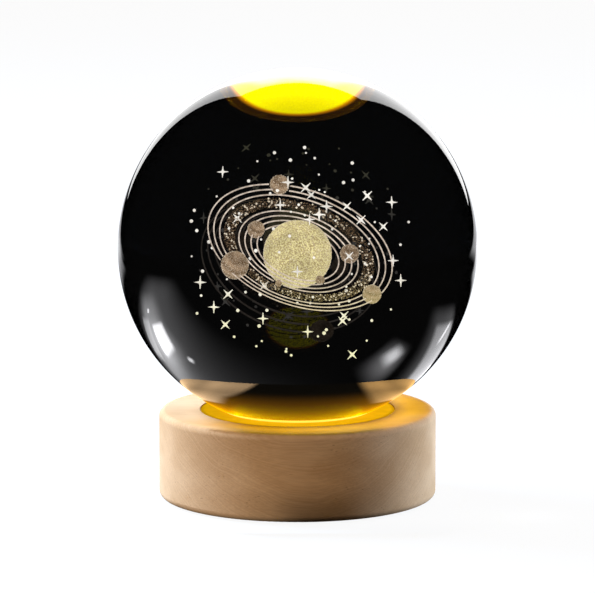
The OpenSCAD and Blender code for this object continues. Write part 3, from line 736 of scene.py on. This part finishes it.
def spill():
    """The amber light that leaves the ball low down and falls on the wood round it, least at the left and
    the back."""
    glow = light_card("spill", 4.4)
    x, y, _ = glow.axes(glow.place())
    side = (x - y * 0.8).ramp(-16, 6, 0.1, 1.0)
    return glow.set(Emission_Color=glow.tint((1.0, 0.82, 0.0), side)).material


def seen_whole(wiring):
    """1 where the ray comes from the camera, a mirror or through glass, and 0 elsewhere."""
    path = wiring.node("LightPath", output="Is Camera Ray")
    for way in ("Is Glossy Ray", "Is Transmission Ray"):
        path = path.larger(wiring.node("LightPath", output=way))
    return path


def floor_material():
    """A pale sweep: matt white that shows close to clear white, with the object's soft shadow, and that
    throws little light back at the object."""
    sweep = Finish("white_sweep", Roughness=0.9, Specular_IOR_Level=0.1)
    bounced = sweep.node("LightPath", output="Is Diffuse Ray")
    white, dim, glow_share = (0.9, 0.9, 0.9), (0.06, 0.055, 0.05), 0.93
    sweep.set(Base_Color=sweep.mix(bounced, white, dim))
    bright = sweep.node("Emission", {}, {"Color": (1, 1, 1), "Strength": 1.0})
    surface = Signal(sweep, sweep.shader.outputs[0])
    mixed = sweep.node("MixShader", {}, {0: seen_whole(sweep) * glow_share, 1: surface, 2: bright})
    sweep.feed(sweep.tree.nodes["Material Output"].inputs["Surface"], mixed)
    return sweep.material


def world():
    """White to the camera, to mirrors and through glass, and a soft warm fill for everything else."""
    sky = bpy.data.worlds.new("studio")
    bpy.context.scene.world = sky
    wiring = Wiring(sky)
    fill, white = (0.42, 0.335, 0.24), (1, 1, 1)
    colour = wiring.mix(seen_whole(wiring), fill, white)
    wiring.feed(wiring.tree.nodes["Background"].inputs["Color"], colour)


def lamp(name, place, size, power, colour):
    """A soft lamp, wide and high as given, that looks at the object and shows in no mirror."""
    light = bpy.data.lights.new(name, "AREA")
    light.shape = "RECTANGLE"
    light.size, light.size_y = size
    light.energy = power
    light.color = colour
    made = bpy.data.objects.new(name, light)
    bpy.context.scene.collection.objects.link(made)
    made.location = place
    made.rotation_euler = (LAMPS_LOOK_AT - Vector(place)).to_track_quat("-Z", "Y").to_euler()
    made.visible_camera = False
    made.visible_glossy = False
    made.visible_transmission = False


def studio():
    """The floor, what only the glass mirrors, the spilled light, the flags, the lamps and the world."""
    cloth = black_cloth()
    mirrored, shading = ("glossy",), ("diffuse", "shadow")
    left, right = CARD_SIDES
    staged("floor", *level_sheet(FLOOR_HALF, FLOOR_Z), floor_material())
    staged("cloth_round", *dome_patch((right, 360 + left), (CARD_LOW, 90)), cloth, mirrored)
    staged("cloth_over", *dome_patch(CARD_SIDES, (CARD_TOP, 90)), cloth, mirrored)
    staged("back_light", *dome_patch(CARD_SIDES, (CARD_LOW, CARD_TOP)), back_light(), mirrored)
    staged("mirrored_table", *level_sheet(TABLE_HALF, TABLE_Z), mirrored_table(), mirrored)
    staged("mirrored_wood", *revolve(np.array(TOP_SHEET) * MM, SHEET_TURNS), mirrored_wood(), mirrored)
    staged("spill_ring", *revolve(np.array(SPILL_RING) * MM, RING_TURNS), spill(), ("diffuse",))
    staged("flag_low", *upright(*FLAG_LOW), cloth, shading)
    for name, low, turn in FLAGS:
        staged(name, *fence(FLAG_R, (low * MM, FLAG_TOP), turn), cloth, shading)
    for name, place, size, power, colour in LAMPS:
        lamp(name, place, size, power, colour)
    world()


def camera():
    """The camera at the photograph's height and distance, framed on the lamp."""
    data = bpy.data.cameras.new("camera")
    data.sensor_width = SENSOR_WIDTH
    data.lens = SENSOR_WIDTH * CAMERA_AWAY / FRAME_WIDTH
    data.clip_start = 0.01
    made = bpy.data.objects.new("camera", data)
    bpy.context.scene.collection.objects.link(made)
    rise = math.radians(CAMERA_RISE)
    made.location = (0, -CAMERA_AWAY * math.cos(rise), CAMERA_AIM + CAMERA_AWAY * math.sin(rise))
    made.rotation_euler = (math.pi / 2 - rise, 0, 0)
    bpy.context.scene.camera = made


camera()
glass_ball()
engraving()
frosted_disc()
fittings()
studio()
bpy.context.scene.view_settings.view_transform = "Standard"
